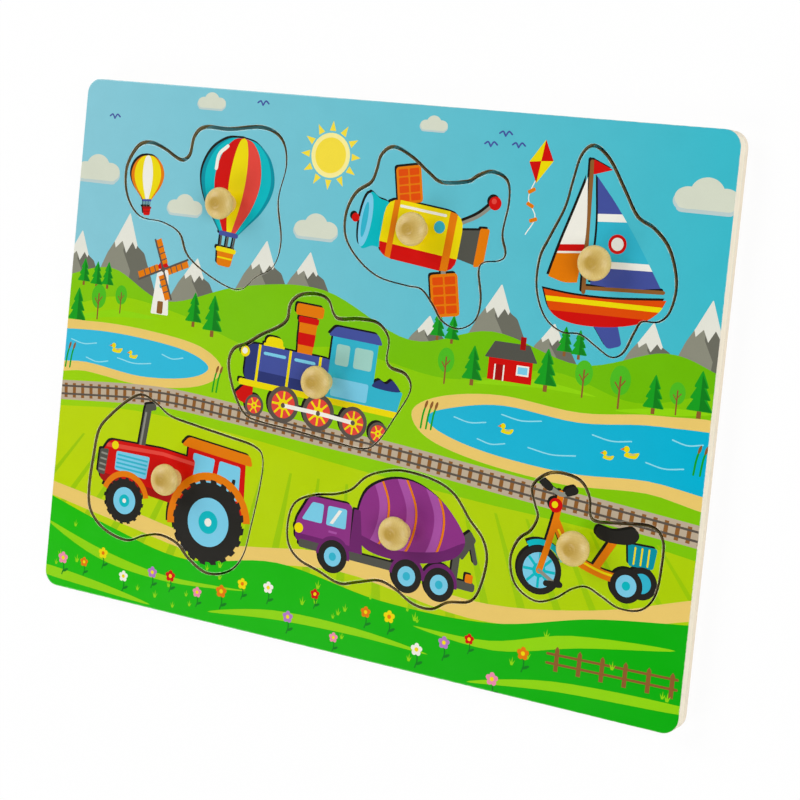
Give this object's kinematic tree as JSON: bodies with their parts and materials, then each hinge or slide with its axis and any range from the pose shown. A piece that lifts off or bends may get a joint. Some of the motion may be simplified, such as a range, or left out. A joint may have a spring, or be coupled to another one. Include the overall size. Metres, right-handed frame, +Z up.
{
  "type": "wooden peg puzzle",
  "caption": "Flat wooden tray puzzle with a printed picture and loose vehicle pieces that lift out of their recesses by turned knobs.",
  "frame": {"origin": "middle of the tray's underside, on the surface that the tray lies on", "axes": "+X to the right of the printed picture, +Y to its top edge, +Z up out of the printed face"},
  "size_m": [0.3, 0.225, 0.0184],
  "materials": {
    "backing_wood": "bare fibreboard, matt",
    "panel_wood": "bare plywood, sawn and lightly sanded",
    "knob_wood": "turned pale hardwood, clear satin varnish",
    "recess_paper": "printed paper, satin varnish",
    "face_paper": "printed paper, gloss varnish",
    "balloons_paper": "printed paper, gloss varnish",
    "satellite_paper": "printed paper, gloss varnish",
    "yacht_paper": "printed paper, gloss varnish",
    "locomotive_paper": "printed paper, gloss varnish",
    "tractor_paper": "printed paper, gloss varnish",
    "mixer_paper": "printed paper, gloss varnish",
    "tricycle_paper": "printed paper, gloss varnish"
  },
  "bodies": {
    "tray": {"backing_board": "backing_wood", "recess_print": "recess_paper", "frame_board": "panel_wood", "face_print": "face_paper"},
    "balloons": {"balloons_plate": "panel_wood", "balloons_print": "balloons_paper", "balloons_knob": "knob_wood"},
    "satellite": {"satellite_plate": "panel_wood", "satellite_print": "satellite_paper", "satellite_knob": "knob_wood"},
    "yacht": {"yacht_plate": "panel_wood", "yacht_print": "yacht_paper", "yacht_knob": "knob_wood"},
    "locomotive": {"locomotive_plate": "panel_wood", "locomotive_print": "locomotive_paper", "locomotive_knob": "knob_wood"},
    "tractor": {"tractor_plate": "panel_wood", "tractor_print": "tractor_paper", "tractor_knob": "knob_wood"},
    "mixer": {"mixer_plate": "panel_wood", "mixer_print": "mixer_paper", "mixer_knob": "knob_wood"},
    "tricycle": {"tricycle_plate": "panel_wood", "tricycle_print": "tricycle_paper", "tricycle_knob": "knob_wood"}
  },
  "joints": [
    {"name": "balloons_lift", "type": "slide", "parent": "tray", "child": "balloons", "axis": [0, 0, 1], "range_m": [0, 0.04]},
    {"name": "satellite_lift", "type": "slide", "parent": "tray", "child": "satellite", "axis": [0, 0, 1], "range_m": [0, 0.04]},
    {"name": "yacht_lift", "type": "slide", "parent": "tray", "child": "yacht", "axis": [0, 0, 1], "range_m": [0, 0.04]},
    {"name": "locomotive_lift", "type": "slide", "parent": "tray", "child": "locomotive", "axis": [0, 0, 1], "range_m": [0, 0.04]},
    {"name": "tractor_lift", "type": "slide", "parent": "tray", "child": "tractor", "axis": [0, 0, 1], "range_m": [0, 0.04]},
    {"name": "mixer_lift", "type": "slide", "parent": "tray", "child": "mixer", "axis": [0, 0, 1], "range_m": [0, 0.04]},
    {"name": "tricycle_lift", "type": "slide", "parent": "tray", "child": "tricycle", "axis": [0, 0, 1], "range_m": [0, 0.04]}
  ]
}
